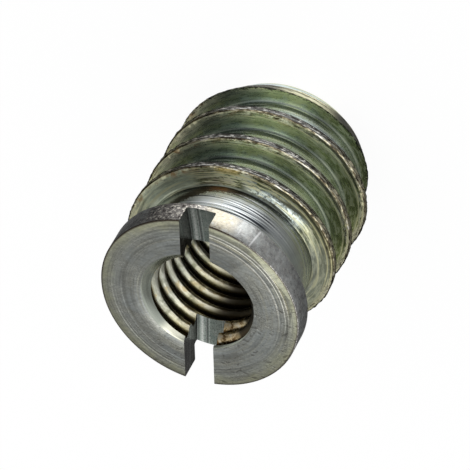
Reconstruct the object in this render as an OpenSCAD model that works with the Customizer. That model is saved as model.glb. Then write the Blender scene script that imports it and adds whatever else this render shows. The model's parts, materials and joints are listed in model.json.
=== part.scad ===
// Screw-in threaded insert, turned from one piece of steel.
// It stands on its entry end, with the slotted collar up and its axis on Z.
// Millimetres; the origin is the centre of the entry end.

/* [Collar] */
// Length of the whole insert, from the entry end to the slotted face
overall_h = 17.2; // [15:0.1:25]
// Diameter of the collar
collar_d = 14; // [13:0.1:16]
// Length of the collar
collar_h = 1.85; // [1.5:0.05:2.6]
// Chamfer that breaks the collar's two outer edges
edge_break = 0.08; // [0.05:0.01:0.3]

/* [Neck] */
// Diameter of the relief turned behind the collar
neck_d = 11.2; // [10:0.1:11.4]
// Length of the relief, from the collar to where the wood thread starts
neck_h = 2.45; // [2:0.05:4]

/* [Wood thread] */
// Diameter over the thread's crests
crest_d = 14.4; // [13:0.1:18]
// Diameter at the thread's root
root_d = 11.4; // [11:0.1:12.4]
// Rise of the thread in one turn
pitch = 3.14; // [2.6:0.01:4.5]
// Width of the thread's flat crest
crest_w = 0.52; // [0.2:0.01:0.8]
// Slope of the flank that faces the collar, from square to the axis
upper_flank = 4; // [1:0.5:15]
// Slope of the flank that faces the entry end, from square to the axis
lower_flank = 30; // [10:1:38]
// Direction in which the thread starts, from +X
start_azimuth = 76; // [0:1:359]
// Part of a turn in which the thread rises from its root to its crest
run_in = 50; // [20:5:120]

/* [Entry end] */
// Diameter of the entry end's face
end_d = 11.1; // [10.4:0.1:11.2]
// Slope of the lead-in cone, from the axis
lead_angle = 30; // [20:1:40]

/* [Bore] */
// Diameter of the bore at the crests of its machine thread
bore_d = 6.9; // [4:0.1:8]
// Width of the bevel where the bore opens at the slotted face
mouth_bevel = 0.47; // [0.1:0.01:0.8]
// Width of the bevel where the bore opens at the entry end
exit_bevel = 0.45; // [0.1:0.01:0.8]

/* [Driver slot] */
// Width of the slot
slot_w = 2.1; // [1:0.1:3]
// Depth of the slot where the disc cutter went deepest
slot_h = 2.5; // [1:0.1:3.5]
// Diameter of the disc cutter that leaves the slot's hollow floor
cutter_d = 73; // [50:1:120]
// Distance of the deepest place behind the axis
cutter_shift = 1.85; // [0:0.05:2.5]

/* [Smoothness] */
// Steps in one turn of the wood thread
turn_steps = 48; // [24:4:72]

/* [Hidden] */
$fn = 96;
// Depth to which the thread's inner edge is sunk in the core
thread_sink = 0.4;
// Margin by which a cut runs past a face, and the thread stays clear of one
clear = 0.05;
collar_r = collar_d / 2;
neck_r = neck_d / 2;
crest_r = crest_d / 2;
root_r = root_d / 2;
end_r = end_d / 2;
bore_r = bore_d / 2;
sunk_r = root_r - thread_sink;
lead_slope = tan(lead_angle);
upper_slope = tan(upper_flank);
lower_slope = tan(lower_flank);
// Heights above the entry end
collar_z = overall_h - collar_h;
start_z = collar_z - neck_h;
lead_z = (root_r - end_r) / lead_slope;
// Turn at which the lead-in cone has brought the thread down to its root
thread_turn = 360 * (start_z - lead_z - 2 * clear) / pitch;
step_turn = 360 / turn_steps;
step_count = ceil(thread_turn / step_turn);

// Radius of the crest a given turn below the thread's start
function rising_r(turn) =
    let (rise = min(1, turn / run_in))
    root_r - clear + (crest_r - root_r + clear) * rise * (2 - rise);

// Height of a flank at radius r: slope > 0 leans up towards the axis
function flank_z(crest_z, r, slope) = crest_z + (crest_r - r) * slope;

// Radius at which the lead-in cone cuts a flank
function cone_cut_r(crest_z, slope) =
    (end_r + (crest_z + crest_r * slope) * lead_slope) / (1 + slope * lead_slope);

// The thread's section as [radius, height] points, a given turn below its start:
// sunk edge, upper crest edge, cone edge, lower crest edge, sunk edge
function thread_section(turn) =
    let (
        top_z = start_z - pitch * turn / 360,
        low_z = top_z - crest_w,
        full_r = rising_r(turn),
        upper_r = min(full_r, cone_cut_r(top_z, upper_slope)),
        upper_z = flank_z(top_z, upper_r, upper_slope),
        lower_r = max(root_r - clear, min(full_r, cone_cut_r(low_z, -lower_slope))),
        lower_z = max(flank_z(low_z, lower_r, -lower_slope), lead_z + clear),
        cone_z = max(lower_z * 0.9 + upper_z * 0.1,
            min((full_r - end_r) / lead_slope, lower_z * 0.1 + upper_z * 0.9)),
        cone_r = min(full_r, end_r + cone_z * lead_slope)
    )
    [
        [sunk_r, flank_z(top_z, sunk_r, upper_slope)],
        [upper_r, upper_z],
        [cone_r, cone_z],
        [lower_r, lower_z],
        [sunk_r, max(flank_z(low_z, sunk_r, -lower_slope), lead_z)]
    ];

// One section set at its own azimuth; a right-hand thread falls clockwise
function placed_section(turn) =
    let (azimuth = start_azimuth - turn)
    [for (p = thread_section(turn)) [p[0] * cos(azimuth), p[0] * sin(azimuth), p[1]]];

// The coarse wood thread, swept down the core and cut to the lead-in cone
module wood_thread() {
    sides = 5;
    points = [
        for (i = [0:step_count])
            each placed_section(min(thread_turn, i * step_turn))
    ];
    skin = [
        for (i = [0:step_count - 1], s = [0:sides - 1])
            let (
                a = i * sides + s,
                b = i * sides + (s + 1) % sides
            )
            each [[a, b, a + sides], [b, b + sides, a + sides]]
    ];
    start_cap = [for (s = [1:sides - 2]) [0, s + 1, s]];
    last = step_count * sides;
    end_cap = [for (s = [1:sides - 2]) [last, last + s, last + s + 1]];
    polyhedron(points, concat(skin, start_cap, end_cap), convexity = 12);
}

// The turned blank: entry cone, core, neck and collar
module blank() {
    rotate_extrude()
        polygon([
            [0, 0],
            [end_r, 0],
            [root_r, lead_z],
            [root_r, start_z],
            [neck_r, start_z + root_r - neck_r],
            [neck_r, collar_z],
            [collar_r - edge_break, collar_z],
            [collar_r, collar_z + edge_break],
            [collar_r, overall_h - edge_break],
            [collar_r - edge_break, overall_h],
            [0, overall_h]
        ]);
}

// A bevel of 45 degrees round the bore, opening upwards from z = 0
module bore_bevel(width) {
    translate([0, 0, -width])
        cylinder(r1 = bore_r, r2 = bore_r + width + clear, h = width + clear);
}

// The through bore with a bevel at each end
module bore() {
    translate([0, 0, -clear])
        cylinder(r = bore_r, h = overall_h + 2 * clear);
    translate([0, 0, overall_h])
        bore_bevel(mouth_bevel);
    mirror([0, 0, 1])
        bore_bevel(exit_bevel);
}

// The driver slot, cut across the collar by a disc cutter
module driver_slot() {
    translate([-slot_w / 2, cutter_shift, overall_h - slot_h + cutter_d / 2])
        rotate([0, 90, 0])
            cylinder(d = cutter_d, h = slot_w, $fn = 360);
}

module threaded_insert() {
    color([0.55, 0.56, 0.50])
        difference() {
            union() {
                blank();
                wood_thread();
            }
            bore();
            driver_slot();
        }
}

threaded_insert();
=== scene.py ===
import json
import math

import bmesh
import bpy
from mathutils import Matrix, Vector


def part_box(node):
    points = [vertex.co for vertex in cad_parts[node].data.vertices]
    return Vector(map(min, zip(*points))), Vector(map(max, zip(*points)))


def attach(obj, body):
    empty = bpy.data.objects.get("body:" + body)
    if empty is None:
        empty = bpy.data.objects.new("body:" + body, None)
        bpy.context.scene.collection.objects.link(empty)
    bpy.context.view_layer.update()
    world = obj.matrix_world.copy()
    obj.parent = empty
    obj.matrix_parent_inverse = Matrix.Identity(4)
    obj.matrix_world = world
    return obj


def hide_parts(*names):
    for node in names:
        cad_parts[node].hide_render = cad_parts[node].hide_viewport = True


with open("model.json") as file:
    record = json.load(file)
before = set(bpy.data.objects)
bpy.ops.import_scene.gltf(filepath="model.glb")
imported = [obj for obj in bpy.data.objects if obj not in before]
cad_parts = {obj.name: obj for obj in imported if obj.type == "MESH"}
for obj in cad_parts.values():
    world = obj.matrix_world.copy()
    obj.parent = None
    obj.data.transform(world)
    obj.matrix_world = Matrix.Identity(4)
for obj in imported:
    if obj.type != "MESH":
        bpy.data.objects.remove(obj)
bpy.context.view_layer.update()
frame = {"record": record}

bl_info = {
    "name": "Threaded insert",
    "version": (1, 0, 0),
    "blender": (4, 5, 0),
    "location": "View3D > Sidebar > Insert",
    "description": "Models and finishes a screw-in threaded insert over its CAD frame",
    "category": "Add Mesh",
}

NODE = "threaded_insert"
MM = 0.001
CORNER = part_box(NODE)[1]
TOP = CORNER.z
CREST_RADIUS = CORNER.x
MOUNTS = {mount["name"]: mount for mount in frame["record"]["mounts"]}
COLLAR_RADIUS = MOUNTS["collar"]["dims"]["r_mm"] * MM
BORE_RADIUS = MOUNTS["machine_thread"]["dims"]["r_mm"] * MM
ROOT_RADIUS = MOUNTS["wood_thread"]["dims"]["r_mm"] * MM
THREAD_TOP = MOUNTS["wood_thread"]["dims"]["length_mm"] * MM
SEAT = MOUNTS["collar_seat"]["pos_m"][2]
PIECE = "insert_body"
# How far a cutting tool passes the end faces
OVERSHOOT = 0.5 * MM
# Fine grooves that the lathe left on the slotted face: their radii, half width and depth
FACE_GROOVES = (6.28 * MM, 6.10 * MM, 5.60 * MM)
GROOVE_HALF = 0.05 * MM
GROOVE_DEPTH = 0.009 * MM


# ---------------------------------------------------------------- sizes and colours


def length(name, description, default):
    """A length in metres."""
    return bpy.props.FloatProperty(
        name=name, description=description, default=default, unit="LENGTH", precision=6
    )


def angle(name, description, degrees):
    """An angle, given in degrees and kept in radians."""
    return bpy.props.FloatProperty(
        name=name, description=description, default=math.radians(degrees), subtype="ANGLE"
    )


def colour(name, description, default):
    """A colour without alpha."""
    return bpy.props.FloatVectorProperty(
        name=name, description=description, default=default, subtype="COLOR", size=3, min=0, max=1
    )


class InsertSizes(bpy.types.PropertyGroup):
    """Sizes of the insert that the CAD frame does not state by itself."""

    corners: bpy.props.IntProperty(
        name="Corners", description="Corners of each turned ring", default=256, min=48
    )
    neck_radius: length("Neck radius", "Radius of the relief behind the collar", 5.6 * MM)
    edge_break: length("Edge break", "Chamfer of the collar's two outer edges", 0.06 * MM)
    end_radius: length("End radius", "Radius of the entry end's face", 5.55 * MM)
    lead_angle: angle("Lead-in angle", "Slope of the lead-in cone, from the axis", 30)
    wood_pitch: length("Wood thread rise", "Rise of the wood thread in one turn", 3.14 * MM)
    wood_start: angle("Wood thread start", "Direction in which the wood thread starts", 76)
    run_in: angle("Run-in", "Part of a turn in which the wood thread rises", 50)
    machine_pitch: length("Machine thread rise", "Rise of the machine thread in a turn", 1.25 * MM)
    machine_root: length("Machine thread root", "Radius at the machine thread's root", 3.98 * MM)
    mouth_radius: length("Mouth radius", "Radius of the countersink at the slotted face", 3.92 * MM)
    mouth_offset: length("Mouth offset", "How far the countersink lies off the axis", 0.2 * MM)
    slot_width: length("Slot width", "Width of the driver slot", 2.08 * MM)
    slot_depth: length("Slot depth", "Depth of the slot at its deepest place", 2.49 * MM)
    slot_offset: length("Slot offset", "Distance of the slot's middle from the axis", 0.15 * MM)
    cutter_radius: length("Cutter radius", "Radius of the disc cutter for the slot", 36.5 * MM)
    cutter_shift: length("Cutter shift", "Distance of the deepest place behind the axis", 1.84 * MM)


class InsertFinish(bpy.types.PropertyGroup):
    """Colours of the plated steel."""

    zinc: colour("Zinc", "Plain zinc plating", (0.52, 0.53, 0.50))
    olive: colour("Olive", "Passivation on the wood thread's flanks", (0.52, 0.57, 0.27))
    teal: colour("Teal", "Passivation near the thread's root", (0.48, 0.55, 0.40))
    rust: colour("Rust", "Brown spots of thick passivation", (0.45, 0.25, 0.10))
    bare: colour("Bare metal", "Steel where the plating is rubbed or torn", (0.62, 0.60, 0.58))


class InsertStage(bpy.types.PropertyGroup):
    """Camera and light."""

    azimuth: angle("Azimuth", "Direction of the camera from +X", -113.456)
    elevation: angle("Elevation", "Height of the camera above the horizon", 44.993)
    roll: angle("Roll", "Turn of the camera about its own axis", -150.177)
    aim: bpy.props.FloatVectorProperty(
        name="Aim", description="Place that the camera looks at",
        default=(0.179 * MM, -0.078 * MM, 9.949 * MM), subtype="TRANSLATION", size=3, precision=6,
    )
    distance: length("Distance", "Distance of the camera from its aim", 285.13 * MM)
    lens: bpy.props.FloatProperty(
        name="Lens", description="Focal length in millimetres", default=324.27, min=10
    )
    floor_tone: colour("Floor", "Colour of the floor", (0.9, 0.9, 0.9))
    world_level: bpy.props.FloatProperty(
        name="Room light", description="Brightness of the room around", default=0.6, min=0
    )
    floor_glow: bpy.props.FloatProperty(
        name="Floor glow", description="Share of plain white in what the floor shows",
        default=0.9, min=0, max=1,
    )
    floor_white: bpy.props.FloatProperty(
        name="Floor white", description="Brightness of the plain white that the floor shows",
        default=1.05, min=0,
    )
    roof: bpy.props.FloatProperty(
        name="Roof", description="Brightness of the tent's roof", default=0.45, min=0
    )
    lamp: bpy.props.FloatProperty(
        name="Top lamp", description="Brightness of the lamp in the tent's roof", default=1.7, min=0
    )
    lamp_azimuth: angle("Top lamp azimuth", "Direction of the top lamp from +X", 150)
    lamp_elevation: angle("Top lamp elevation", "Height of the top lamp above the horizon", 70)


# ---------------------------------------------------------------- modelling helpers


def deselect_all():
    """Leaves edit mode and selects nothing."""
    if bpy.context.object and bpy.context.object.mode != "OBJECT":
        bpy.ops.object.mode_set(mode="OBJECT")
    bpy.ops.object.select_all(action="DESELECT")


def activate(piece):
    """Makes a piece the only one selected, and active."""
    deselect_all()
    piece.select_set(True)
    bpy.context.view_layer.objects.active = piece


def edit(piece, kind="VERT"):
    """Opens a piece in edit mode with nothing selected."""
    activate(piece)
    bpy.ops.object.mode_set(mode="EDIT")
    bpy.ops.mesh.select_mode(type=kind)
    bpy.ops.mesh.select_all(action="DESELECT")


def select_where(piece, kind, wanted):
    """Selects the vertices, edges or faces of the open piece that wanted() accepts."""
    mesh = bmesh.from_edit_mesh(piece.data)
    for element in getattr(mesh, kind):
        element.select_set(bool(wanted(element)))
    mesh.select_flush_mode()
    bmesh.update_edit_mesh(piece.data)


def primitive(name):
    """Names the primitive just added and puts its place into its mesh."""
    bpy.ops.object.transform_apply(location=True, rotation=True, scale=True)
    bpy.context.object.name = name
    return bpy.context.object


def face_outwards(piece):
    """Turns every face of a closed piece outwards."""
    edit(piece)
    bpy.ops.mesh.select_all(action="SELECT")
    bpy.ops.mesh.normals_make_consistent(inside=False)
    bpy.ops.object.mode_set(mode="OBJECT")


def turned(name, stations, corners):
    """A turned solid: a ring drawn at the first (radius, height) and extruded to the others."""
    deselect_all()
    radius, height = stations[0]
    bpy.ops.mesh.primitive_circle_add(vertices=corners, radius=radius, location=(0, 0, height))
    piece = primitive(name)
    edit(piece)
    bpy.ops.mesh.select_all(action="SELECT")
    bpy.ops.mesh.edge_face_add()
    for new_radius, new_height in stations[1:]:
        bpy.ops.mesh.extrude_region_move(
            TRANSFORM_OT_translate={"value": (0, 0, new_height - height)}
        )
        if new_radius != radius:
            grow = new_radius / radius
            bpy.ops.transform.resize(value=(grow, grow, 1), center_override=(0, 0, new_height))
        radius, height = new_radius, new_height
    face_outwards(piece)
    return piece


def ridge(name, section, pitch, start_angle, start_height, turns, turn_steps):
    """A helical ridge: its closed (radius, height) section is drawn, then swept downwards."""
    deselect_all()
    place = Vector((section[0][0], 0, start_height + section[0][1]))
    bpy.ops.mesh.primitive_plane_add(size=0.1 * MM, location=place)
    piece = primitive(name)
    edit(piece)
    bpy.ops.mesh.select_all(action="SELECT")
    bpy.ops.mesh.merge(type="CENTER")
    for radius, rise in section[1:]:
        point = Vector((radius, 0, start_height + rise))
        bpy.ops.mesh.extrude_region_move(TRANSFORM_OT_translate={"value": point - place})
        place = point
    bpy.ops.mesh.select_all(action="SELECT")
    bpy.ops.mesh.edge_face_add()
    bpy.ops.mesh.delete(type="ONLY_FACE")
    bpy.ops.mesh.select_all(action="SELECT")
    bpy.ops.transform.rotate(value=-start_angle, orient_axis="Z", center_override=(0, 0, 0))
    bpy.ops.object.mode_set(mode="OBJECT")
    sweep = piece.modifiers.new("sweep", "SCREW")
    sweep.axis = "Z"
    sweep.angle = -2 * math.pi * turns
    sweep.screw_offset = -pitch * turns
    sweep.steps = sweep.render_steps = round(turns * turn_steps)
    sweep.use_merge_vertices = False
    bpy.ops.object.modifier_apply(modifier=sweep.name)
    edit(piece)
    bpy.ops.mesh.select_non_manifold()
    bpy.ops.mesh.fill_holes(sides=0)
    face_outwards(piece)
    return piece


def boolean(piece, tool, operation):
    """Joins a piece with a tool or cuts it, applies that and deletes the tool."""
    activate(piece)
    step = piece.modifiers.new("step", "BOOLEAN")
    step.operation = operation
    step.solver = "MANIFOLD"
    step.material_mode = "TRANSFER"
    step.object = tool
    bpy.ops.object.modifier_apply(modifier=step.name)
    if not piece.data.polygons:
        raise RuntimeError(f"{operation} with {tool.name} left nothing of {piece.name}")
    activate(tool)
    bpy.ops.object.delete()


def roughen(piece, wanted, size, depth, name):
    """Makes the vertices that wanted() accepts uneven by up to depth, in lumps of a size."""
    activate(piece)
    group = piece.vertex_groups.new(name=name)
    group.add([v.index for v in piece.data.vertices if wanted(v.co)], 1.0, "REPLACE")
    lumps = bpy.data.textures.new(name, "CLOUDS")
    lumps.noise_scale = size
    lumps.noise_depth = 3
    uneven = piece.modifiers.new(name, "DISPLACE")
    uneven.texture = lumps
    uneven.vertex_group = group.name
    uneven.strength = 2 * depth
    uneven.mid_level = 0.5
    uneven.texture_coords = "LOCAL"
    bpy.ops.object.modifier_apply(modifier=uneven.name)
    piece.vertex_groups.clear()


def paint(piece, finish_of):
    """Gives each face of a piece the material whose name finish_of(centre, normal) returns."""
    names = []
    for face in piece.data.polygons:
        finish = finish_of(face.center, face.normal)
        if finish not in names:
            names.append(finish)
            piece.data.materials.append(material(finish))
        face.material_index = names.index(finish)


def material(name):
    """The material of that name, which the plate operator fills in later."""
    return bpy.data.materials.get(name) or bpy.data.materials.new(name)


def round_radius(point):
    """Distance from the axis."""
    return math.hypot(point.x, point.y)


# ---------------------------------------------------------------- the pieces


class INSERT_OT_turn_blank(bpy.types.Operator):
    """Turns the blank: entry end, core, neck and collar"""

    bl_idname = "insert.turn_blank"
    bl_label = "Turn the blank"

    def execute(self, context):
        size = context.scene.insert_sizes
        neck, edge = size.neck_radius, size.edge_break
        fillet, taper, margin = 0.12 * MM, 0.55 * MM, 0.1 * MM
        lead = (ROOT_RADIUS - size.end_radius) / math.tan(size.lead_angle)
        stations = [
            (size.end_radius - edge, 0),
            (size.end_radius, edge / 2),
            (ROOT_RADIUS, lead + edge / 2),
            *self.grooves(ROOT_RADIUS, THREAD_TOP - 1.45 * MM, THREAD_TOP - taper - margin),
            (ROOT_RADIUS, THREAD_TOP - taper),
            (neck, THREAD_TOP + taper),
            *self.grooves(neck, THREAD_TOP + taper + margin, SEAT - fillet - margin),
            (neck, SEAT - fillet),
            (neck + 0.3 * fillet, SEAT - 0.3 * fillet),
            (neck + fillet, SEAT),
            (COLLAR_RADIUS - edge, SEAT),
            (COLLAR_RADIUS - 0.3 * edge, SEAT + 0.3 * edge),
            (COLLAR_RADIUS, SEAT + edge),
            (COLLAR_RADIUS, TOP - edge),
            (COLLAR_RADIUS - 0.3 * edge, TOP - 0.3 * edge),
            (COLLAR_RADIUS - edge, TOP),
        ]
        for radius in FACE_GROOVES:
            outer, inner = radius + GROOVE_HALF, radius - GROOVE_HALF
            stations += [(outer, TOP), (radius, TOP - GROOVE_DEPTH), (inner, TOP)]
        blank = turned(PIECE, stations, size.corners)

        def finish(centre, normal):
            radius = round_radius(centre)
            if centre.z > TOP - 0.05 * MM and radius < COLLAR_RADIUS - edge:
                return "slotted_face"
            if radius > COLLAR_RADIUS - edge and abs(normal.z) > 0.2:
                return "bare_edge"
            if radius > neck + fillet and centre.z > THREAD_TOP:
                return "collar_side"
            if centre.z > THREAD_TOP:
                return "neck"
            return "thread_root" if centre.z > lead + edge else "entry_end"

        paint(blank, finish)
        return {"FINISHED"}

    def grooves(self, radius, low, high):
        """Stations of the fine grooves that the lathe tool left between two heights."""
        gap, half = 0.21 * MM, 0.04 * MM
        stations = []
        for step in range(int((high - low) / gap) + 1):
            height = low + step * gap
            depth = (0.011 + 0.008 * math.sin(2.4 * step)) * MM
            stations += [(radius, height - half), (radius - depth, height), (radius, height + half)]
        return stations


class INSERT_OT_wood_thread(bpy.types.Operator):
    """Winds the coarse wood thread, trims it to the lead-in cone and joins it to the blank"""

    bl_idname = "insert.wood_thread"
    bl_label = "Wind the wood thread"

    def execute(self, context):
        size = context.scene.insert_sizes
        # Roughening lifts parts of the crest to its full radius
        crest = CREST_RADIUS - 0.04 * MM
        turn_steps = 576
        section = self.section(crest)
        turns = (THREAD_TOP + 0.6 * MM) / size.wood_pitch
        thread = ridge(
            "wood_thread", section, size.wood_pitch, size.wood_start, THREAD_TOP, turns, turn_steps
        )
        run_in_steps = round(turn_steps * size.run_in / (2 * math.pi))
        edit(thread)
        for step in range(run_in_steps):
            shrink = self.shrink(step / run_in_steps, crest)
            first, last = step * len(section), (step + 1) * len(section)
            select_where(thread, "verts", lambda v: first <= v.index < last)
            bpy.ops.transform.resize(value=(shrink, shrink, 1), center_override=(0, 0, 0))
        deselect_all()
        self.swell(thread, len(section), turn_steps)
        torn = crest - 0.03 * MM
        roughen(thread, lambda co: round_radius(co) > torn, 0.35 * MM, 0.06 * MM, "torn crest")
        trim = self.lead_in(size, section[0][0] - 0.6 * MM)
        paint(trim, lambda centre, normal: "entry_cone")

        def finish(centre, normal):
            passed, ridge_height = self.first_ridge(centre, size)
            full_radius = crest
            if passed < size.run_in and abs(centre.z - ridge_height) < size.wood_pitch / 2:
                full_radius = crest * self.shrink(passed / size.run_in, crest)
            if round_radius(centre) < full_radius - 0.09 * MM:
                return "thread_flank" if normal.z > 0 else "thread_root"
            return "thread_edge" if normal.z > 0.3 else "thread_crest"

        paint(thread, finish)
        boolean(thread, trim, "INTERSECT")
        body = bpy.data.objects[PIECE]
        boolean(body, thread, "UNION")
        self.extend_neck(body, size)
        return {"FINISHED"}

    def section(self, crest):
        """The ridge's section, from inside the core over the crest and back into it."""
        sunk = ROOT_RADIUS - 0.45 * MM
        return [
            (sunk, 0.42 * MM),
            (ROOT_RADIUS + 0.01 * MM, 0.24 * MM),
            (ROOT_RADIUS + 0.08 * MM, 0.15 * MM),
            (ROOT_RADIUS + 0.20 * MM, 0.10 * MM),
            (ROOT_RADIUS + 0.40 * MM, 0.075 * MM),
            (ROOT_RADIUS + 0.65 * MM, 0.055 * MM),
            (crest - 0.35 * MM, 0.02 * MM),
            (crest - 0.08 * MM, 0.0),
            (crest, -0.06 * MM),
            (crest, -0.27 * MM),
            (crest, -0.46 * MM),
            (crest - 0.06 * MM, -0.54 * MM),
            (crest - 0.35 * MM, -0.72 * MM),
            (ROOT_RADIUS + 0.15 * MM, -1.28 * MM),
            (ROOT_RADIUS, -1.42 * MM),
            (sunk, -1.70 * MM),
        ]

    def lead_in(self, size, inside):
        """The tool that trims the ridge: inside it lies what the lead-in cone leaves."""
        cone = math.tan(size.lead_angle)
        foot, entry = 0.04 * MM, size.end_radius + 0.02 * MM
        out, steps = 2.0 * MM, 12
        widths = [out * step / steps for step in range(1, steps + 1)]
        stations = [
            (inside, foot),
            (entry, foot),
            *((entry + width, foot + width / cone) for width in widths),
            (size.end_radius + out + 0.02 * MM, THREAD_TOP + 0.2 * MM),
        ]
        trim = turned("lead_in", stations, size.corners * 2)
        roughen(trim, lambda co: 0.5 * MM < co.z < 4 * MM, 0.3 * MM, 0.05 * MM, "burr")
        return trim

    def shrink(self, rise, crest):
        """Scale of the section part way through the run-in, where the ridge rises from the root."""
        start = ROOT_RADIUS / crest * 0.99
        return start + (1 - start) * rise * (2 - rise)

    def first_ridge(self, place, size):
        """Angle from the thread's start to a place, and the first ridge's height there."""
        passed = (size.wood_start - math.atan2(place.y, place.x)) % (2 * math.pi)
        return passed, THREAD_TOP - size.wood_pitch * passed / (2 * math.pi)

    def extend_neck(self, body, size):
        """Gives the core above the first ridge the neck's finish: the same tool turned it."""
        names = [slot.name for slot in body.data.materials]
        for face in body.data.polygons:
            if names[face.material_index] == "thread_root":
                if face.center.z > self.first_ridge(face.center, size)[1]:
                    face.material_index = names.index("neck")

    def swell(self, thread, corners, turn_steps):
        """Thickens the foot of the first flank, where the neck tool ran out into the thread."""
        group = thread.vertex_groups.new(name="run-out")
        middle, reach, lift = 0.60 * turn_steps, 0.16 * turn_steps, 0.30 * MM
        shares = {0: 1.0, 1: 1.0, 2: 0.9, 3: 0.72, 4: 0.40, 5: 0.08}
        for step in range(round(middle - reach), round(middle + reach)):
            fade = 0.5 + 0.5 * math.cos(math.pi * (step - middle) / reach)
            for corner, share in shares.items():
                group.add([step * corners + corner], share * fade, "REPLACE")
        raised = thread.modifiers.new("run-out", "DISPLACE")
        raised.vertex_group = group.name
        raised.direction = "Z"
        raised.mid_level = 0
        raised.strength = lift
        activate(thread)
        bpy.ops.object.modifier_apply(modifier=raised.name)
        thread.vertex_groups.clear()


class INSERT_OT_machine_thread(bpy.types.Operator):
    """Drills the bore, sets the machine thread in it and countersinks both ends"""

    bl_idname = "insert.machine_thread"
    bl_label = "Cut the machine thread"

    def execute(self, context):
        size = context.scene.insert_sizes
        body = bpy.data.objects[PIECE]
        self.drill(body, size)
        self.wind(body, size)
        self.countersink(body, size)
        self.trim_ends(body)
        return {"FINISHED"}

    def drill(self, body, size):
        """Opens the bore at the machine thread's root."""
        root = size.machine_root
        drill = turned("drill", [(root, -OVERSHOOT), (root, TOP + OVERSHOOT)], size.corners)
        paint(drill, lambda centre, normal: "machine_thread")
        boolean(body, drill, "DIFFERENCE")

    def wind(self, body, size):
        """Sets the thread's ridge in the bore, past both of its ends."""
        root, crest, pitch = size.machine_root, BORE_RADIUS, size.machine_pitch
        slope = math.tan(math.radians(30))
        depth, flat = root - crest, 0.31 * MM
        sunk, foot, rounding = 0.2 * MM, 0.04 * MM, 0.05 * MM
        section = [
            (root + sunk, -depth * slope - 0.01 * MM),
            (root - foot, -(depth - foot) * slope),
            (crest + rounding, -0.02 * MM),
            (crest, rounding),
            (crest, flat - rounding),
            (crest + rounding, flat + 0.02 * MM),
            (root - foot, flat + (depth - foot) * slope),
            (root + sunk, flat + depth * slope + 0.01 * MM),
        ]
        start_angle = math.radians(66.6)
        start = TOP - 0.158 * MM + pitch
        turns, turn_steps = (TOP + 3.2 * MM) / pitch, 160
        thread = ridge("machine_thread", section, pitch, start_angle, start, turns, turn_steps)
        paint(thread, lambda centre, normal: "machine_thread")
        boolean(body, thread, "UNION")

    def countersink(self, body, size):
        """Opens the bore's mouth, a little off the axis, and its exit."""
        mouth, crest, inner = size.mouth_radius, BORE_RADIUS, 0.4 * MM
        stations = [
            (crest - inner, TOP - mouth + crest - inner),
            (mouth - 0.10 * MM, TOP - 0.10 * MM),
            (mouth, TOP - 0.035 * MM),
            (mouth + 0.09 * MM, TOP + 0.01 * MM),
            (mouth + OVERSHOOT, TOP + OVERSHOOT),
        ]
        sink = turned("countersink", stations, size.corners)
        activate(sink)
        off = size.mouth_offset
        bpy.ops.transform.translate(value=(0.85 * off, -0.52 * off, 0))
        primitive("countersink")
        paint(sink, lambda centre, normal: "countersink")
        boolean(body, sink, "DIFFERENCE")
        stations = [(mouth + OVERSHOOT, -OVERSHOOT), (crest - inner, mouth - crest + inner)]
        sink = turned("exit_countersink", stations, size.corners)
        paint(sink, lambda centre, normal: "countersink")
        boolean(body, sink, "DIFFERENCE")

    def trim_ends(self, body):
        """Cuts off what stands out of the two end faces."""
        wide = COLLAR_RADIUS * 1.2
        for end, face in ((-1, "entry_end"), (1, "slotted_face")):
            stations = [(wide, TOP / 2 + end * TOP / 2), (wide, TOP / 2 + end * TOP)]
            trim = turned("end_trim", stations, 64)
            paint(trim, lambda centre, normal: face)
            boolean(body, trim, "DIFFERENCE")


class INSERT_OT_driver_slot(bpy.types.Operator):
    """Mills the driver slot with a disc cutter"""

    bl_idname = "insert.driver_slot"
    bl_label = "Mill the driver slot"

    def execute(self, context):
        size = context.scene.insert_sizes
        deselect_all()
        height = TOP - size.slot_depth + size.cutter_radius
        bpy.ops.mesh.primitive_cylinder_add(
            vertices=720,
            radius=size.cutter_radius,
            depth=size.slot_width,
            location=(size.slot_offset, size.cutter_shift, height),
            rotation=(0, math.pi / 2, 0),
        )
        cutter = primitive("disc_cutter")
        edit(cutter, "EDGE")
        rim = size.slot_width / 2 - 0.001 * MM
        select_where(
            cutter, "edges", lambda e: all(abs(v.co.x - size.slot_offset) > rim for v in e.verts)
        )
        bpy.ops.mesh.bevel(offset=0.08 * MM, segments=2, affect="EDGES")
        deselect_all()
        paint(cutter, lambda centre, normal: "slot_wall" if abs(normal.x) > 0.7 else "slot_floor")
        boolean(bpy.data.objects[PIECE], cutter, "DIFFERENCE")
        return {"FINISHED"}


# ---------------------------------------------------------------- wiring of node trees


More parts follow.
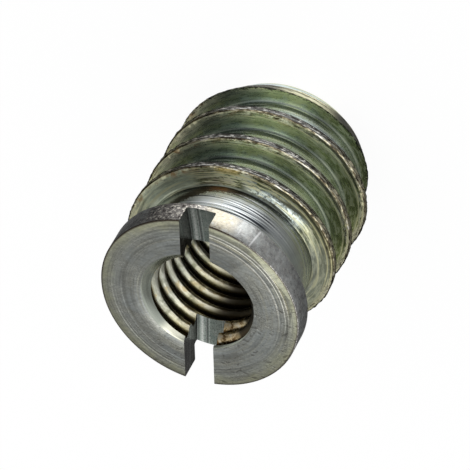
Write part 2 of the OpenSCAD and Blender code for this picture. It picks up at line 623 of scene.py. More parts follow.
class Signal:
    """What a node gives out. The signs + - * / and the methods add nodes that work on it."""

    def __init__(self, wire, socket):
        self.wire = wire
        self.socket = socket

    def __add__(self, other):
        return self.wire.math("ADD", self, other)

    def __sub__(self, other):
        return self.wire.math("SUBTRACT", self, other)

    def __rsub__(self, other):
        return self.wire.math("SUBTRACT", other, self)

    def __mul__(self, other):
        return self.wire.math("MULTIPLY", self, other)

    def __truediv__(self, other):
        return self.wire.math("DIVIDE", self, other)

    def __rtruediv__(self, other):
        return self.wire.math("DIVIDE", other, self)

    def most(self, other):
        """The larger of two numbers."""
        return self.wire.math("MAXIMUM", self, other)

    def spread(self, low, high, to_low=0.0, to_high=1.0):
        """Maps a number smoothly from one range to another."""
        limits = {"From Min": low, "From Max": high, "To Min": to_low, "To Max": to_high}
        limits["Value"] = self
        return self.wire.output("ShaderNodeMapRange", limits, interpolation_type="SMOOTHSTEP")

    def peak(self, centre, half_width):
        """One where a number is centre, falling smoothly to nothing half_width away."""
        return self.wire.math("ABSOLUTE", self - centre).spread(0.0, half_width, 1.0, 0.0)

    def towards(self, degrees, inner, outer):
        """One within inner degrees of a direction from +X, falling to nothing at outer degrees."""
        aim = math.radians(degrees)
        facing = self.wire.vector_math("DOT_PRODUCT", self, (math.cos(aim), math.sin(aim), 0))
        return facing.spread(math.cos(math.radians(outer)), math.cos(math.radians(inner)))

    def parts(self):
        """The three parts of a vector."""
        node = self.wire.node("ShaderNodeSeparateXYZ", {0: self})
        return [Signal(self.wire, socket) for socket in node.outputs]

    def scaled(self, factor):
        """A vector times a number."""
        return self.wire.output(
            "ShaderNodeVectorMath", {0: self, "Scale": factor}, operation="SCALE"
        )


class Outputs:
    """A node's outputs, as attributes in small letters with _ for a space."""

    def __init__(self, wire, sockets):
        for socket in sockets:
            if socket.name:
                setattr(self, socket.name.lower().replace(" ", "_"), Signal(wire, socket))


class Wiring:
    """Short ways to add nodes to one tree and join them."""

    def __init__(self, tree):
        self.tree = tree

    def feed(self, socket, source):
        """Joins a socket to a signal, or gives it a plain value."""
        if isinstance(source, Signal):
            self.tree.links.new(source.socket, socket)
        elif source is not None:
            socket.default_value = source

    def node(self, kind, inputs=None, **settings):
        """A node with its settings and its inputs by name or number."""
        new = self.tree.nodes.new(kind)
        for name, setting in settings.items():
            setattr(new, name, setting)
        for name, source in (inputs or {}).items():
            self.feed(new.inputs[name], source)
        return new

    def output(self, kind, inputs=None, which=0, **settings):
        """One output of a new node."""
        return Signal(self, self.node(kind, inputs, **settings).outputs[which])

    def outputs(self, kind, inputs=None, **settings):
        """All outputs of a new node."""
        return Outputs(self, self.node(kind, inputs, **settings).outputs)

    def math(self, operation, a, b=None):
        """The result of one Math node."""
        inputs = {0: a} if b is None else {0: a, 1: b}
        return self.output("ShaderNodeMath", inputs, operation=operation)

    def vector_math(self, operation, a, b=None):
        """The result of one Vector Math node, a number for LENGTH and DOT_PRODUCT."""
        inputs = {0: a} if b is None else {0: a, 1: b}
        which = "Value" if operation in ("LENGTH", "DOT_PRODUCT") else 0
        return self.output("ShaderNodeVectorMath", inputs, which, operation=operation)

    def join(self, x, y, z):
        """A vector of three parts."""
        return self.output("ShaderNodeCombineXYZ", {0: x, 1: y, 2: z})

    def noise(self, vector, scale, detail=2.0, roughness=0.55, distortion=0.0):
        """Smooth noise around 0.5."""
        inputs = {
            "Vector": vector, "Scale": scale, "Detail": detail,
            "Roughness": roughness, "Distortion": distortion,
        }
        return self.output("ShaderNodeTexNoise", inputs)

    def mix(self, factor, a, b, blend="MIX"):
        """Mixes two colours."""
        inputs = {"Factor": factor}
        for name, tone in (("A", a), ("B", b)):
            inputs[name] = tone if isinstance(tone, Signal) else (*tone, 1)
        return self.output("ShaderNodeMix", inputs, "Result", data_type="RGBA", blend_type=blend)

    def layers(self, tone, *rows):
        """Lays colours over a tone in turn; a row is a mask, a colour and, if not MIX, a blend."""
        for mask, *colour_and_blend in rows:
            tone = self.mix(mask, tone, *colour_and_blend)
        return tone

    def ramp(self, value, *stops):
        """A colour for each value between 0 and 1."""
        new = self.node("ShaderNodeValToRGB", {"Fac": value})
        points = new.color_ramp.elements
        while len(points) < len(stops):
            points.new(1.0)
        for point, (position, tone) in zip(points, stops):
            point.position = position
            point.color = (*tone, 1)
        return Signal(self, new.outputs["Color"])

    def group(self, name, **inputs):
        """The outputs of a shared effect, whose inputs are given in small letters."""
        tree = bpy.data.node_groups[name]
        named = {key.title(): source for key, source in inputs.items()}
        return self.outputs("ShaderNodeGroup", named, node_tree=tree)


def fresh_wiring(material_slot):
    """The wiring of a material that starts with no nodes."""
    material_slot.use_nodes = True
    material_slot.node_tree.nodes.clear()
    return Wiring(material_slot.node_tree)


def blend(factor, a, b):
    """The number a turned into b by a factor."""
    return a * (1.0 - factor) + b * factor


# ---------------------------------------------------------------- shared effects


def part_coordinates(wire, given):
    """Places on the turned part in millimetres: radius, height, direction, place in the thread."""
    place = wire.output("ShaderNodeTexCoord", which="Object").scaled(1 / MM)
    x, y, height = place.parts()
    flat = wire.join(x, y, 0.0)
    turn = wire.math("ARCTAN2", y, x) / (2 * math.pi)
    below = given.crest_height - height + turn * given.rise
    past_start = wire.math("GREATER_THAN", turn, given.start)
    return {
        "Place": place,
        "Radius": wire.vector_math("LENGTH", flat),
        "Height": height,
        "Around": wire.vector_math("NORMALIZE", flat),
        "Turn": turn,
        "Below Crest": wire.math("FLOORED_MODULO", below, given.rise),
        "Below First": below - past_start * given.rise,
    }


def turning_marks(wire, given):
    """Marks of the lathe tool: fine grooves, dark lines and bright lines that come and go."""
    east, north = given.around.scaled(given.wander).parts()[:2]

    def grooves(share, shift, detail):
        across = given.across * (given.lines * share) + (given.seed + shift)
        return wire.noise(wire.join(across, east, north), 1.0, detail, 0.6)

    dark = grooves(1.0, 17.0, 0.0).spread(0.42, 0.30)
    fine_dark = grooves(2.4, 29.0, 0.0).spread(0.40, 0.30, 0.0, 0.7)
    bright = grooves(1.3, 43.0, 0.0).spread(0.60, 0.72)
    fine_bright = grooves(2.6, 57.0, 0.0).spread(0.60, 0.70, 0.0, 0.7)
    return {
        "Grooves": grooves(2.0, 0.0, 2.0),
        "Dark": dark.most(fine_dark),
        "Bright": bright.most(fine_bright),
        "Bands": grooves(0.25, 71.0, 1.0),
    }


def plating_clouds(wire, given):
    """Uneven plating: large clouds, patches with clear edges, and a fine grain."""
    moved = wire.vector_math("ADD", given.place, given.seed)
    scale = 1.0 / given.size
    return {
        "Clouds": wire.noise(moved, scale, 3.0, 0.6, 0.4).spread(0.30, 0.70),
        "Patches": wire.noise(moved, scale * 0.7, 4.0, 0.65, 0.8).spread(0.54, 0.64),
        "Grain": wire.noise(moved, scale * 9.0, 3.0, 0.7).spread(0.30, 0.70),
    }


def specks(wire, given):
    """Small ragged pits, in a share of the cells of a given size."""
    ragged = wire.noise(given.place, 9.0, 2.0)
    cells = wire.outputs("ShaderNodeTexVoronoi", {"Vector": given.place, "Scale": 1.0 / given.size})
    inside = wire.math("LESS_THAN", cells.distance, ragged * 0.45)
    chance = cells.color.parts()[0]
    return {"Specks": inside * wire.math("LESS_THAN", chance, given.share)}


def scratches(wire, given):
    """Scratches across the X-Y plane, near the X direction: how dense, how long and how rare."""
    found = None
    for degrees in (5, -16, 34):
        inputs = {"Vector": given.place, "Scale": wire.join(given.length, 1.0, 1.0)}
        inputs["Rotation"] = (0, 0, math.radians(degrees))
        stretched = wire.output("ShaderNodeMapping", inputs, vector_type="TEXTURE")
        lines = wire.noise(stretched.scaled(given.fineness), 1.0, 2.0, 0.6, 0.3)
        line = lines.spread(given.rarity, given.rarity + 0.05)
        found = line if found is None else found.most(line)
    return {"Scratches": found}


# The inputs of each effect; one without a number is a vector. Those of part_coordinates are the
# wood thread's rise, its first crest's height at +X, both in mm, and its start in turns from +X.
EFFECTS = {
    part_coordinates: {"Rise": 3.14, "Crest Height": 12.24, "Start": 0.211},
    turning_marks: {"Across": 0.0, "Around": None, "Lines": 4.0, "Wander": 1.0, "Seed": 0.0},
    plating_clouds: {"Place": None, "Size": 1.0, "Seed": 0.0},
    specks: {"Place": None, "Size": 0.3, "Share": 0.2},
    scratches: {"Place": None, "Fineness": 5.0, "Length": 6.0, "Rarity": 0.64},
}


def make_effect(build, inputs):
    """Makes the node group that build(wire, given) describes by the outputs it returns."""
    tree = bpy.data.node_groups.new(build.__name__, "ShaderNodeTree")
    for name, default in inputs.items():
        kind = "NodeSocketVector" if default is None else "NodeSocketFloat"
        made = tree.interface.new_socket(name, in_out="INPUT", socket_type=kind)
        if default is not None:
            made.default_value = default
    wire = Wiring(tree)
    results = build(wire, wire.outputs("NodeGroupInput"))
    for name, signal in results.items():
        kind = "NodeSocketVector" if signal.socket.type == "VECTOR" else "NodeSocketFloat"
        tree.interface.new_socket(name, in_out="OUTPUT", socket_type=kind)
    wire.node("NodeGroupOutput", results)


# ---------------------------------------------------------------- the finish


class Finish:
    """One plated or bare material: its wiring, the tones and the part's coordinates."""

    def __init__(self, slot, tones):
        self.wire = fresh_wiring(slot)
        self.tones = tones
        self.at = self.wire.group("part_coordinates")

    def marks(self, across, lines, wander=1.0, seed=0.0, around=None):
        """Lathe marks: how many lines there are for each millimetre across, and how they wander."""
        return self.wire.group(
            "turning_marks", across=across, around=around or self.at.around, lines=lines,
            wander=wander, seed=seed,
        )

    def plating(self, size, seed=0.0):
        """Uneven plating, in clouds of a size in millimetres."""
        return self.wire.group("plating_clouds", place=self.at.place, size=size, seed=seed)

    def scratches(self, fineness, length, rarity):
        """Scratches across the face."""
        return self.wire.group(
            "scratches", place=self.at.place, fineness=fineness, length=length, rarity=rarity
        ).scratches

    def drawn_noise(self, radius, stretch, across, *noise):
        """Noise drawn out round the axis at a radius; across are its two other coordinates."""
        along = self.at.turn * (2 * math.pi * radius / MM)
        return self.wire.noise(self.wire.join(along * stretch, *across), *noise)

    def shade(self, tone, rough, height, depth, anisotropy=0.0, edge_tint=1.0):
        """Ends the material in its metal shader; depth is how deep the height marks are, in mm."""
        wire = self.wire
        bumped = {"Strength": 1.0, "Distance": depth * MM, "Height": height}
        inputs = {
            "Metallic": 1.0,
            "Specular Tint": (edge_tint, edge_tint, edge_tint, 1),
            "Base Color": tone,
            "Roughness": rough,
            "Normal": wire.output("ShaderNodeBump", bumped),
        }
        if anisotropy:
            inputs["Anisotropic"] = anisotropy
            inputs["Tangent"] = wire.output("ShaderNodeTangent", direction_type="RADIAL", axis="Z")
        metal = wire.output("ShaderNodeBsdfPrincipled", inputs)
        wire.node("ShaderNodeOutputMaterial", {"Surface": metal})


def dress_slotted_face(finish):
    """Turned face: fine rings, a yellower outer band, painted highlights on the rings and streaks
    on one side, scratches and dark nicks.
    """
    wire, at = finish.wire, finish.at
    marks = finish.marks(at.radius, lines=3.6, wander=1.2)
    plating = finish.plating(size=1.5)
    brushed = finish.scratches(fineness=7.0, length=26.0, rarity=0.54)
    nicks = finish.scratches(fineness=4.2, length=3.2, rarity=0.63)
    outer = (at.radius + plating.clouds * 0.7).spread(6.1, 7.4)
    # Painted highlight: the side of the face where bright lathe streaks and rings are painted
    highlit_side = at.around.towards(-134, 30, 52)
    face_highlight_streaks = at.radius.spread(5.4, 6.0, 0.2, 1.0) * highlit_side
    face_highlight_streaks = marks.bright * face_highlight_streaks.spread(0.0, 1.0, 0.15, 0.6)
    rings = at.radius.peak(5.60, 0.12).most(at.radius.peak(6.28, 0.10))
    rings = rings.most(at.radius.peak(6.05, 0.09) * 0.7)
    nicked = (nicks * at.around.towards(125, 50, 110)).most(nicks * 0.12)
    rim = at.radius.spread(6.84, 6.93)
    tone = wire.layers(
        wire.mix(plating.clouds, (0.50, 0.51, 0.46), (0.43, 0.46, 0.45)),
        (outer * 0.75, (0.53, 0.53, 0.34)),
        # painted highlights: bright lathe streaks and bright rings on one side
        (face_highlight_streaks, (0.80, 0.76, 0.52)),
        (marks.dark * 0.40, (0.16, 0.16, 0.14)),
        (rings * highlit_side, (0.97, 0.96, 0.86)),
        (brushed * 0.26, (0.18, 0.19, 0.18)),
        (nicked * 0.5, (0.09, 0.08, 0.07)),
        (plating.grain * 0.30, (0.30, 0.30, 0.27), "MULTIPLY"),
        (rim * 0.75, (0.07, 0.055, 0.04)),
    )
    rough = plating.clouds.spread(0.0, 1.0, 0.26, 0.36)
    height = marks.grooves - nicked * 1.5 + rings * 3.0
    finish.shade(tone, rough, height, 0.006)


def dress_collar_side(finish):
    """Outside of the collar: softly mottled zinc, one long scratch, painted glints beside the slot.
    """
    wire, at = finish.wire, finish.at
    plating = finish.plating(size=0.8, seed=3.0)
    mottled = wire.noise(at.place, 2.6, 3.0, 0.65, 0.3)
    pits = wire.group("specks", place=at.place, size=0.34, share=0.16).specks
    upright = (at.height * 0.12, at.radius)
    streaks = finish.drawn_noise(COLLAR_RADIUS, 1.0, upright, 2.0, 2.0, 0.6)
    near_slot = at.around.towards(-100, 2, 13)
    beside_slot = at.around.towards(-75, 6, 22)
    scratch = (at.turn + at.height * -0.003).peak(-0.388, 0.0024)
    glints = wire.noise(at.place, 5.0, 3.0, 0.7)
    sparkling = beside_slot.spread(0.0, 0.8, 0.14, 1.0)
    tone = wire.layers(
        wire.mix(plating.clouds, (0.37, 0.37, 0.36), (0.47, 0.49, 0.48)),
        (near_slot * 0.7, (0.58, 0.52, 0.38)),
        (mottled.spread(0.53, 0.64, 0.0, 0.5), (0.66, 0.69, 0.69)),
        (mottled.spread(0.47, 0.36, 0.0, 0.4), (0.22, 0.22, 0.23)),
        (streaks.spread(0.60, 0.66, 0.0, 0.22), (0.86, 0.88, 0.88)),
        (scratch * 0.8, (0.97, 0.98, 0.98)),
        (beside_slot * 0.70, (0.27, 0.24, 0.22)),
        (pits * 0.25, (0.12, 0.115, 0.11)),
        # painted glints beside the slot: dark and bright specks
        (glints.spread(0.44, 0.38) * sparkling, (0.03, 0.02, 0.018)),
        (glints.spread(0.55, 0.60) * sparkling, (0.97, 0.93, 0.82)),
    )
    rough = mottled.spread(0.3, 0.7, 0.24, 0.38)
    finish.shade(tone, rough, streaks + mottled * 1.5, 0.007, edge_tint=0.6)


def dress_bare_edge(finish):
    """Broken edges of the collar: dark, with bright spots on one side."""
    plating = finish.plating(size=1.0, seed=5.0)
    bright_spots = plating.grain * finish.at.around.towards(-160, 15, 55)
    tone = finish.wire.mix(bright_spots, (0.06, 0.045, 0.035), (0.90, 0.88, 0.84))
    finish.shade(tone, 0.36, plating.grain, 0.02)


def core_look(finish):
    """Tone, roughness and grooves of the core: blue-grey with fine streaks, with painted shade in
    front and a near-black painted shade band just above the flank below.
    """
    wire, at = finish.wire, finish.at
    marks = finish.marks(at.below_crest, lines=5.0, wander=2.0, seed=21.0)
    plating = finish.plating(size=0.8, seed=11.0)
    # Painted shade: the core is darker on its front side, and near black just above the flank below
    shaded_front = at.around.towards(-80, 30, 66)
    foot = at.below_crest.spread(2.30, 2.55) * at.around.towards(-100, 18, 46)
    tone = wire.layers(
        wire.mix(plating.clouds, (0.50, 0.57, 0.60), (0.60, 0.67, 0.70)),
        # painted shade in front and just above the flank below
        (shaded_front * 0.88, (0.33, 0.38, 0.36)),
        (foot * 0.85, (0.06, 0.075, 0.075)),
        (marks.dark * shaded_front.spread(0.0, 1.0, 0.35, 0.7), (0.08, 0.09, 0.095)),
        (marks.bright * 0.45, (0.85, 0.88, 0.90)),
    )
    return tone, plating.grain.spread(0.0, 1.0, 0.24, 0.36), marks.grooves


def dress_thread_root(finish):
    """Core between the ridges."""
    finish.shade(*core_look(finish), 0.006, 0.2)


def dress_neck(finish):
    """Relief behind the collar: dark lathe lines, painted highlight streaks in front, a painted
    shade band at its foot and a painted shadow wedge with a thin brown stripe beside the slot.
    """
    wire, at = finish.wire, finish.at
    marks = finish.marks(at.height, lines=4.5, wander=0.9, seed=9.0)
    plating = finish.plating(size=1.0, seed=7.0)
    front = at.around.towards(-97, 32, 66)
    # Painted highlight: bright lathe streaks, strong only on the front side
    neck_highlight_streaks = marks.bright * front.spread(0.0, 1.0, 0.1, 0.5)
    lined = marks.dark * at.around.towards(-93, 26, 46).spread(0.0, 1.0, 0.2, 1.0)
    core_tone, core_rough, core_grooves = core_look(finish)
    low = at.height.spread(12.9, 12.3) * at.around.towards(62, 60, 105)
    uneven = (plating.grain - 0.5) * 0.3
    # Painted shade: a near-black band at the foot of the neck, where it meets the first flank
    foot = (at.below_first + uneven).spread(-0.78, -0.48)
    foot = foot * marks.bands.spread(0.62, 0.50, 0.45, 1.0) * front.spread(0.0, 1.0, 0.45, 1.0)
    # Painted shadow: a dark wedge that climbs with the thread beside the slot, with a thin brown
    # stripe in it
    shadow_top = (at.turn + 0.235).most(0.0) * 16.0 + 12.35
    under = shadow_top - at.height + uneven
    shadow_wedge = under.spread(0.0, 0.22) * under.spread(1.1, 0.7) * at.around.towards(-70, 22, 46)
    brown = shadow_wedge * at.around.towards(-86, 1, 8)
    tone = wire.layers(
        wire.mix(plating.clouds, (0.36, 0.39, 0.37), (0.45, 0.50, 0.46)),
        (front, (0.42, 0.45, 0.455)),
        (plating.patches * 0.3, (0.40, 0.385, 0.30)),
        (neck_highlight_streaks, (0.88, 0.90, 0.90)),
        (lined, (0.03, 0.035, 0.045)),
        (low, core_tone),
        (foot * 0.92, (0.04, 0.045, 0.045)),
        (shadow_wedge * 0.94, (0.05, 0.035, 0.022)),
        (brown * 0.7, (0.15, 0.075, 0.035)),
    )
    rough = blend(low, marks.bands.spread(0.3, 0.7, 0.18, 0.34), core_rough)
    finish.shade(tone, rough, blend(low, marks.grooves, core_grooves), 0.005, 0.2)


class Flank:
    """Places and noises that the marks on the wood thread's flanks share."""

    def __init__(self, finish):
        at, across = finish.at, (finish.at.radius, finish.at.height)
        self.wire, self.at, self.tones = finish.wire, at, finish.tones
        self.marks = finish.marks(at.radius, lines=4.0, wander=2.0, seed=31.0)
        self.plating = finish.plating(size=1.1, seed=13.0)
        self.streaks = finish.drawn_noise(CREST_RADIUS, 0.16, across, 4.6, 3.0, 0.75, 0.2)
        self.dashes = finish.drawn_noise(CREST_RADIUS, 0.42, across, 6.4, 3.0, 0.75, 0.2)
        self.fine = finish.drawn_noise(CREST_RADIUS, 0.08, across, 7.5, 2.0, 0.6, 0.1)
        # Share of the way out from the root to the crest, plain and uneven
        self.share = (at.radius - ROOT_RADIUS / MM) / ((CREST_RADIUS - ROOT_RADIUS) / MM)
        self.wavy = self.share + (self.plating.clouds - 0.5) * 0.30
        self.upper = self.share.spread(0.55, 0.85)
        # The first turn of the ridge and the turns below it
        self.first = at.below_first.spread(1.7, 1.5)
        self.later = 1.0 - self.first
        self.front = at.around.towards(-97, 44, 74)
        self.right = at.around.towards(-168, 34, 62)
        self.left = at.around.towards(-49, 13, 28)
        self.calm = self.first * self.left
        self.limb = self.first * (1.0 - self.front) * (1.0 - self.calm)
        middle = self.share.spread(0.04, 0.14) * self.share.spread(0.92, 0.70)
        # Middle of the later turns on the right, painted a darker green as shade
        self.greener = middle * self.right * self.later
        lively = self.upper.most(self.first * 0.9) * self.left.spread(0.0, 1.0, 1.0, 0.25)
        lively = lively * self.limb.spread(0.0, 1.0, 1.0, 0.30)
        self.lively = lively.most(self.greener.spread(0.0, 1.0, 0.10, 0.28))

    def base(self):
        """Teal at the root, olive above and brown at the crest."""
        teal, olive = self.tones.teal, self.tones.olive
        return self.wire.ramp(
            self.wavy, (0.0, teal), (0.12, teal), (0.36, olive), (0.66, olive),
            (0.80, (0.42, 0.39, 0.15)), (1.0, (0.38, 0.35, 0.20)),
        )

    def sides(self):
        """Painted light and shade: layers that make each side of the part its own tone, lighter or
        darker as the light falls on it.
        """
        painted_sheen = self.first * self.at.around.towards(-84, 12, 30)
        greyer = self.left * self.later * self.share.spread(0.25, 0.60)
        painted_shade_band = self.later * self.at.around.towards(-68, 5, 20) * self.share.spread(0.95, 0.65)
        return [
            (self.greener * 0.85, (0.26, 0.31, 0.11)),
            (self.first * self.front * 0.6, (0.54, 0.60, 0.28)),
            # painted highlight on the first turn, then painted lighter and darker sides
            (painted_sheen * 0.85, (0.95, 1.0, 0.66)),
            (self.limb * 0.8, (0.38, 0.40, 0.34)),
            (self.calm * 0.85, (0.66, 0.74, 0.60)),
            (greyer * 0.7, (0.60, 0.59, 0.46)),
            (painted_shade_band * 0.6, (0.14, 0.19, 0.16)),
        ]

    def spots(self):
        """Yellow and brown spots where the flank is lively, and fine lines on the first turn."""
        turned_part = self.first * self.front * (1.0 - self.calm)
        return [
            (self.streaks.spread(0.52, 0.55) * self.lively * 0.9, (1.0, 1.0, 0.72)),
            (self.streaks.spread(0.48, 0.45) * self.lively * 0.9, (0.05, 0.06, 0.025)),
            (self.fine.spread(0.52, 0.57) * turned_part * 0.85, (1.0, 1.0, 0.78)),
            (self.fine.spread(0.48, 0.42) * turned_part * 0.85, (0.09, 0.11, 0.05)),
        ]

    def whitened_foot(self):
        """A ragged painted highlight, nearly white, at the foot of the first turn."""
        edge = (self.streaks - 0.5) * 2.2 + self.wavy + (self.dashes - 0.5)
        edge = edge - self.at.around.towards(-132, 5, 20) * 0.35
        # Painted highlight on one side of the first turn's foot
        white = self.first * edge.spread(0.36, 0.20) * self.at.around.towards(-125, 12, 27)
        return [
            (white * 0.92, (0.88, 1.0, 0.98)),
            (white * self.dashes.spread(0.50, 0.44) * 0.85, (0.16, 0.19, 0.17)),
        ]

    def torn_crest(self):
        """Flecks, pits and bright lines near the crest."""
        torn = self.wavy.spread(0.70, 0.84)
        rubbed = torn * self.left.spread(0.0, 1.0, 1.0, 0.4)
        flecks = self.dashes.spread(0.53, 0.57) * rubbed * self.right.spread(0.0, 1.0, 0.9, 0.6)
        lines = self.share.spread(0.35, 0.75, 0.06, 0.8).most(self.first * 0.8)
        outer = self.first * self.share.spread(0.66, 0.84) * self.at.around.towards(-146, 30, 48)
        return [
            (torn * self.right * 0.7, (0.46, 0.45, 0.34)),
            (flecks, (0.98, 0.93, 0.66)),
            (self.dashes.spread(0.47, 0.43) * rubbed * 0.9, (0.07, 0.055, 0.03)),
            (self.marks.bright * lines * 0.75, (0.92, 0.90, 0.58)),
            (outer * 0.88, (0.13, 0.12, 0.05)),
            (self.last_cuts(), (0.98, 0.93, 0.55)),
        ]

    def last_cuts(self):
        """Two bright lines of the tool's last cuts, the outer one broken."""
        wire, around = self.wire, self.at.around
        placed = self.share + wire.noise(around, 2.0, 2.0) * 0.12
        comes = wire.noise(around, 2.4, 2.0).spread(0.40, 0.52)
        cuts = placed.peak(0.72, 0.05).most(placed.peak(0.91, 0.045) * comes)
        return cuts * around.towards(-135, 40, 80).spread(0.0, 1.0, 0.1, 0.85)

    def stains(self):
        """Dark lathe lines, rust, gold, the painted shade at the foot and the black edge of the
        lead-in cone.
        """
        at = self.at
        rust = at.around.towards(-48, 8, 34) * self.plating.patches * self.upper
        gold = at.around.towards(-90, 2, 9) * self.first * self.upper
        # Painted shade at the flank's foot on the front side
        shaded_foot = self.share.spread(0.10, 0.02) * at.around.towards(-100, 20, 50)
        cone_radius = at.height * math.tan(math.radians(30)) + 5.57
        inside_cone = cone_radius - at.radius + (self.dashes - 0.5) * 1.2
        return [
            (self.marks.dark * self.lively.spread(0.0, 1.0, 0.10, 0.85), (0.08, 0.08, 0.05)),
            (rust * 0.8, self.tones.rust),
            (gold * 0.6, (0.95, 0.72, 0.22)),
            (shaded_foot * 0.85, (0.08, 0.10, 0.10)),
            (inside_cone.spread(0.16, 0.06, 0.0, 0.95), (0.03, 0.027, 0.025)),
        ]


def dress_thread_flank(finish):
    """Ridge flanks: teal at the root, olive above, yellow lines and brown spots at the crest,
    painted light and shade by side and a painted highlight at the first turn's foot.
    """
    flank = Flank(finish)
    tone = finish.wire.layers(
        flank.base(), *flank.sides(), *flank.spots(), *flank.whitened_foot(), *flank.torn_crest(),
        *flank.stains(),
    )
    rough = (flank.streaks + flank.first * 0.25).spread(0.3, 0.8, 0.22, 0.40)
    rough = rough.most(flank.share.spread(0.80, 0.92, 0.0, 0.58))
    height = flank.marks.grooves + flank.streaks * flank.lively * 2.0
    finish.shade(tone, rough, height, 0.008, 0.2, edge_tint=0.5)


def dress_thread_edge(finish):
    """Front edge of the ridge: bright torn metal, broken by dark gaps, with painted shade away from
    one side.
    """
    wire, at = finish.wire, finish.at
    tears = finish.drawn_noise(CREST_RADIUS, 0.35, (at.height, at.radius), 3.2, 3.0, 0.75)
    torn = wire.ramp(
        tears, (0.42, (0.05, 0.04, 0.03)), (0.50, (0.24, 0.20, 0.12)), (0.57, (0.62, 0.57, 0.38)),
        (0.66, (0.98, 0.96, 0.88)),
    )
    # Painted shade: the edge is darkened except on one side
    edge_shade_side = 1.0 - at.around.towards(-125, 42, 74)
    tone = wire.mix(edge_shade_side, torn, (0.20, 0.18, 0.13), "MULTIPLY")
    finish.shade(tone, 0.34, tears, 0.03)


def dress_thread_crest(finish):
    """Torn crest: dark grey, with silver, cream and black tears along the ridge, painted shade on
    one side and a painted shadow along its lower edge.
    """
    wire, at = finish.wire, finish.at
    across = (at.below_crest, at.radius)
    tears = finish.drawn_noise(CREST_RADIUS, 0.09, across, 8.5, 2.0, 0.7, 0.3)
    chips = finish.drawn_noise(CREST_RADIUS, 0.30, across, 7.0, 2.0, 0.7, 0.3)
    # Painted shade: the side of the crest that is painted darker
    crest_shade_side = at.around.towards(-97, 24, 52)
    raised = tears.spread(0.56, 0.61).most(chips.spread(0.60, 0.64))
    sunk = tears.spread(0.47, 0.42).most(chips.spread(0.45, 0.40))
    # Painted shadow along the crest's lower edge
    back = at.below_crest.spread(0.36, 0.46)
    tone = wire.layers(
        wire.mix(crest_shade_side, (0.46, 0.44, 0.33), (0.12, 0.12, 0.115)),
        (raised, wire.mix(crest_shade_side, (0.90, 0.84, 0.62), (0.58, 0.57, 0.53))),
        (sunk * 0.95, (0.03, 0.027, 0.022)),
        (back * 0.9, (0.02, 0.018, 0.018)),
        (at.radius.spread(6.7, 5.85), (0.50, 0.55, 0.54)),
    )
    rough = tears.spread(0.35, 0.65, 0.60, 0.40)
    finish.shade(tone, rough, tears + chips * 0.8, 0.04, edge_tint=0.1)


def dress_entry_end(finish):
    """Parted-off end face with rings."""
    wire, at, tones = finish.wire, finish.at, finish.tones
    marks = finish.marks(at.radius, lines=5.0, seed=41.0)
    plating = finish.plating(size=1.4, seed=23.0)
    tone = wire.layers(
        wire.mix(plating.clouds, tones.zinc, tones.olive),
        (marks.dark * 0.5, (0.14, 0.14, 0.12)),
        (marks.bright * 0.4, tones.bare),
    )
    finish.shade(tone, 0.34, marks.grooves, 0.008, 0.4)


def dress_entry_cone(finish):
    """Lead-in cone that cuts the last ridges: turned and dark, with a painted cream highlight on
    one side.
    """
    wire, at = finish.wire, finish.at
    marks = finish.marks(at.height, lines=5.0, wander=1.4, seed=51.0)
    plating = finish.plating(size=0.7, seed=29.0)
    chatter = finish.drawn_noise(ROOT_RADIUS, 0.6, (at.height * 4.0, 0.0), 3.0, 3.0, 0.7)
    tone = wire.layers(
        wire.mix(plating.clouds, (0.14, 0.14, 0.125), (0.24, 0.24, 0.215)),
        # painted cream highlight on one side
        (at.around.towards(-110, 9, 24), (0.80, 0.79, 0.56)),
        (plating.patches * 0.5, (0.30, 0.27, 0.20)),
        (chatter.spread(0.46, 0.38, 0.0, 0.7), (0.07, 0.065, 0.055)),
        (chatter.spread(0.55, 0.62, 0.0, 0.5), (0.66, 0.65, 0.56)),
        (marks.dark * 0.8, (0.05, 0.045, 0.04)),
        (marks.bright * 0.45, (0.60, 0.59, 0.50)),
    )
    finish.shade(tone, 0.42, marks.grooves + chatter, 0.012, edge_tint=0.2)


